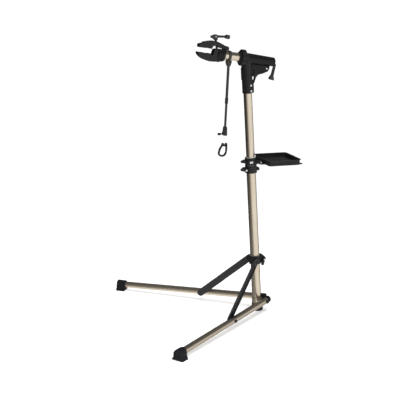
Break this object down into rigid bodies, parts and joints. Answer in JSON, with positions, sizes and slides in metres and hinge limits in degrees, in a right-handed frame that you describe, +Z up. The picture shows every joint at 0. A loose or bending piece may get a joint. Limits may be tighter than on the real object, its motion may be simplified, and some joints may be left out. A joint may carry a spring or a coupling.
{
  "type": "bicycle repair stand",
  "caption": "Folding bipod repair stand with a leaning telescopic mast, a rotating clamp arm, a handlebar rod and a tool tray.",
  "frame": {"origin": "centre of the mast foot's flat underside, on the floor", "axes": "+Z up; -X towards the clamp arm and the legs; +Y completes the right-handed frame"},
  "size_m": [0.7414, 0.9596, 1.2769],
  "materials": {
    "gold_tube": "satin champagne anodised tube",
    "black_cast": "black powder-coated casting",
    "black_steel": "satin black steel",
    "black_plastic": "moulded black plastic",
    "rubber": "matt black rubber",
    "bright_steel": "bright zinc",
    "bush_plastic": "natural acetal",
    "clear_plastic": "clear tab"
  },
  "bodies": {
    "base": {"lower_tube": "gold_tube", "mast_foot_cap": "rubber", "base_bracket": "gold_tube", "leg_pivot_bolts": "black_steel", "mast_clamp": "black_cast", "mast_clamp_bolt": "bright_steel", "guide_bush": "bush_plastic"},
    "mast_clamp_lever": {"mast_clamp_lever": "black_plastic"},
    "leg_left": {"leg_tube_left": "gold_tube", "leg_bush_left": "bush_plastic", "leg_end_cap_left": "black_plastic", "leg_foot_left": "rubber", "strut_bolt_left": "black_steel"},
    "strut_left": {"strut_left": "black_steel", "strut_pin_left": "black_steel"},
    "leg_right": {"leg_tube_right": "gold_tube", "leg_bush_right": "bush_plastic", "leg_end_cap_right": "black_plastic", "leg_foot_right": "rubber", "strut_bolt_right": "black_steel"},
    "strut_right": {"strut_right": "black_steel", "strut_pin_right": "black_steel"},
    "strut_collar": {"strut_collar": "black_cast", "collar_liner": "bush_plastic", "collar_bolt": "bright_steel"},
    "collar_lever": {"collar_lever": "black_plastic"},
    "slide_bush": {"slide_bush": "bush_plastic"},
    "upper_mast": {"upper_tube": "gold_tube", "upper_tube_stops": "black_plastic", "head_casting": "black_cast", "head_screws": "bright_steel", "barrel_bushes": "bush_plastic"},
    "arm": {"clutch_disc": "black_plastic", "arm_tube": "gold_tube", "draw_shaft": "black_steel", "rear_pin": "bright_steel", "clamp_body": "black_cast", "lower_jaw_pad": "rubber", "jaw_pivot_bolt": "black_steel"},
    "rear_lever": {"rear_lever": "black_steel"},
    "upper_jaw": {"upper_jaw": "black_cast", "upper_jaw_pad": "rubber", "jaw_nut": "black_steel"},
    "clamp_screw": {"clamp_screw": "black_steel", "lever_pin": "bright_steel"},
    "clamp_lever": {"clamp_lever": "black_steel"},
    "rod": {"hanger": "black_cast", "outer_rod": "black_steel", "rod_lock": "black_plastic"},
    "rod_slide": {"inner_rod": "black_steel", "rod_end": "black_plastic", "strap_link": "clear_plastic", "strap": "rubber"},
    "tray_sleeve": {"tray_liner": "bush_plastic"},
    "tray": {"tray_collar": "black_cast", "tray_bracket": "bright_steel", "tray_screws": "bright_steel", "tray_dish": "black_plastic"},
    "tray_knob": {"tray_knob": "black_plastic"}
  },
  "joints": [
    {"name": "leg_fold", "type": "hinge", "parent": "base", "child": "leg_left", "pos_m": [0.02147, -0.03457, 0.04997], "axis": [-0.5927, 0.8039, -0.0498], "range_deg": [0, 76]},
    {"name": "leg_fold_right", "type": "hinge", "parent": "base", "child": "leg_right", "pos_m": [0.02147, 0.03457, 0.04997], "axis": [0.5927, 0.8039, 0.0498], "range_deg": [0, 76]},
    {"name": "strut_swing_left", "type": "hinge", "parent": "leg_left", "child": "strut_left", "pos_m": [-0.21703, -0.18433, 0.03955], "axis": [-0.5927, 0.8039, -0.0498], "range_deg": [-124.03, 0]},
    {"name": "strut_swing_right", "type": "hinge", "parent": "leg_right", "child": "strut_right", "pos_m": [-0.21703, 0.18433, 0.03955], "axis": [0.5927, 0.8039, 0.0498], "range_deg": [-124.03, 0]},
    {"name": "collar_slide", "type": "slide", "parent": "base", "child": "strut_collar", "axis": [-0.0837, 0, 0.9965], "range_m": [0, 0.38709]},
    {"name": "collar_lever_turn", "type": "hinge", "parent": "strut_collar", "child": "collar_lever", "pos_m": [0.01919, 0, 0.24948], "axis": [0, -1, 0], "range_deg": [0, 100]},
    {"name": "mast_clamp_lever_turn", "type": "hinge", "parent": "base", "child": "mast_clamp_lever", "pos_m": [-0.08779, 0, 0.67502], "axis": [0, -1, 0], "range_deg": [-75, 0]},
    {"name": "mast_height", "type": "slide", "parent": "base", "child": "slide_bush", "axis": [-0.0837, 0, 0.9965], "range_m": [0, 0.34]},
    {"name": "mast_swivel", "type": "hinge", "parent": "slide_bush", "child": "upper_mast", "pos_m": [-0.02226, 0, 0.26507], "axis": [-0.0837, 0, 0.9965], "range_deg": [-20, 20]},
    {"name": "arm_turn", "type": "hinge", "parent": "upper_mast", "child": "arm", "pos_m": [-0.09849, 0, 1.17287], "axis": [-0.9903, 0, 0.1392], "continuous": true},
    {"name": "rear_lever_turn", "type": "hinge", "parent": "arm", "child": "rear_lever", "pos_m": [0.03223, 0, 1.1545], "axis": [0, -1, 0], "range_deg": [0, 95]},
    {"name": "jaw_open", "type": "hinge", "parent": "arm", "child": "upper_jaw", "pos_m": [-0.19631, 0, 1.21691], "axis": [0, 1, 0], "range_deg": [-3, 14]},
    {"name": "clamp_screw_turn", "type": "hinge", "parent": "upper_jaw", "child": "clamp_screw", "pos_m": [-0.24235, 0, 1.25217], "axis": [-0.1343, 0, 0.9909], "range_deg": [-120, 120]},
    {"name": "clamp_lever_fold", "type": "hinge", "parent": "clamp_screw", "child": "clamp_lever", "pos_m": [-0.24444, 0, 1.26753], "axis": [0, -1, 0], "range_deg": [0, 80]},
    {"name": "rod_swing", "type": "hinge", "parent": "upper_mast", "child": "rod", "pos_m": [-0.17969, 0, 1.18428], "axis": [-0.9903, 0, 0.1392], "range_deg": [-80, 80]},
    {"name": "rod_length", "type": "slide", "parent": "rod", "child": "rod_slide", "axis": [-0.0262, 0, -0.9997], "range_m": [0, 0.09]},
    {"name": "tray_height", "type": "slide", "parent": "upper_mast", "child": "tray_sleeve", "axis": [-0.0837, 0, 0.9965], "range_m": [0, 0.2]},
    {"name": "tray_swivel", "type": "hinge", "parent": "tray_sleeve", "child": "tray", "pos_m": [-0.05857, 0, 0.69754], "axis": [-0.0837, 0, 0.9965], "range_deg": [-20, 20]},
    {"name": "tray_knob_turn", "type": "hinge", "parent": "tray", "child": "tray_knob", "pos_m": [-0.08609, 0, 0.7133], "axis": [-0.9965, 0, -0.0837], "continuous": true}
  ],
  "couplings": [
    {"joint": "leg_fold_right", "follows": "leg_fold", "ratio": 1},
    {"joint": "strut_swing_left", "follows": "leg_fold", "ratio": -1.6319},
    {"joint": "strut_swing_right", "follows": "leg_fold", "ratio": -1.6319},
    {"joint": "collar_slide", "follows": "leg_fold", "m_per_rad": 0.29182}
  ]
}
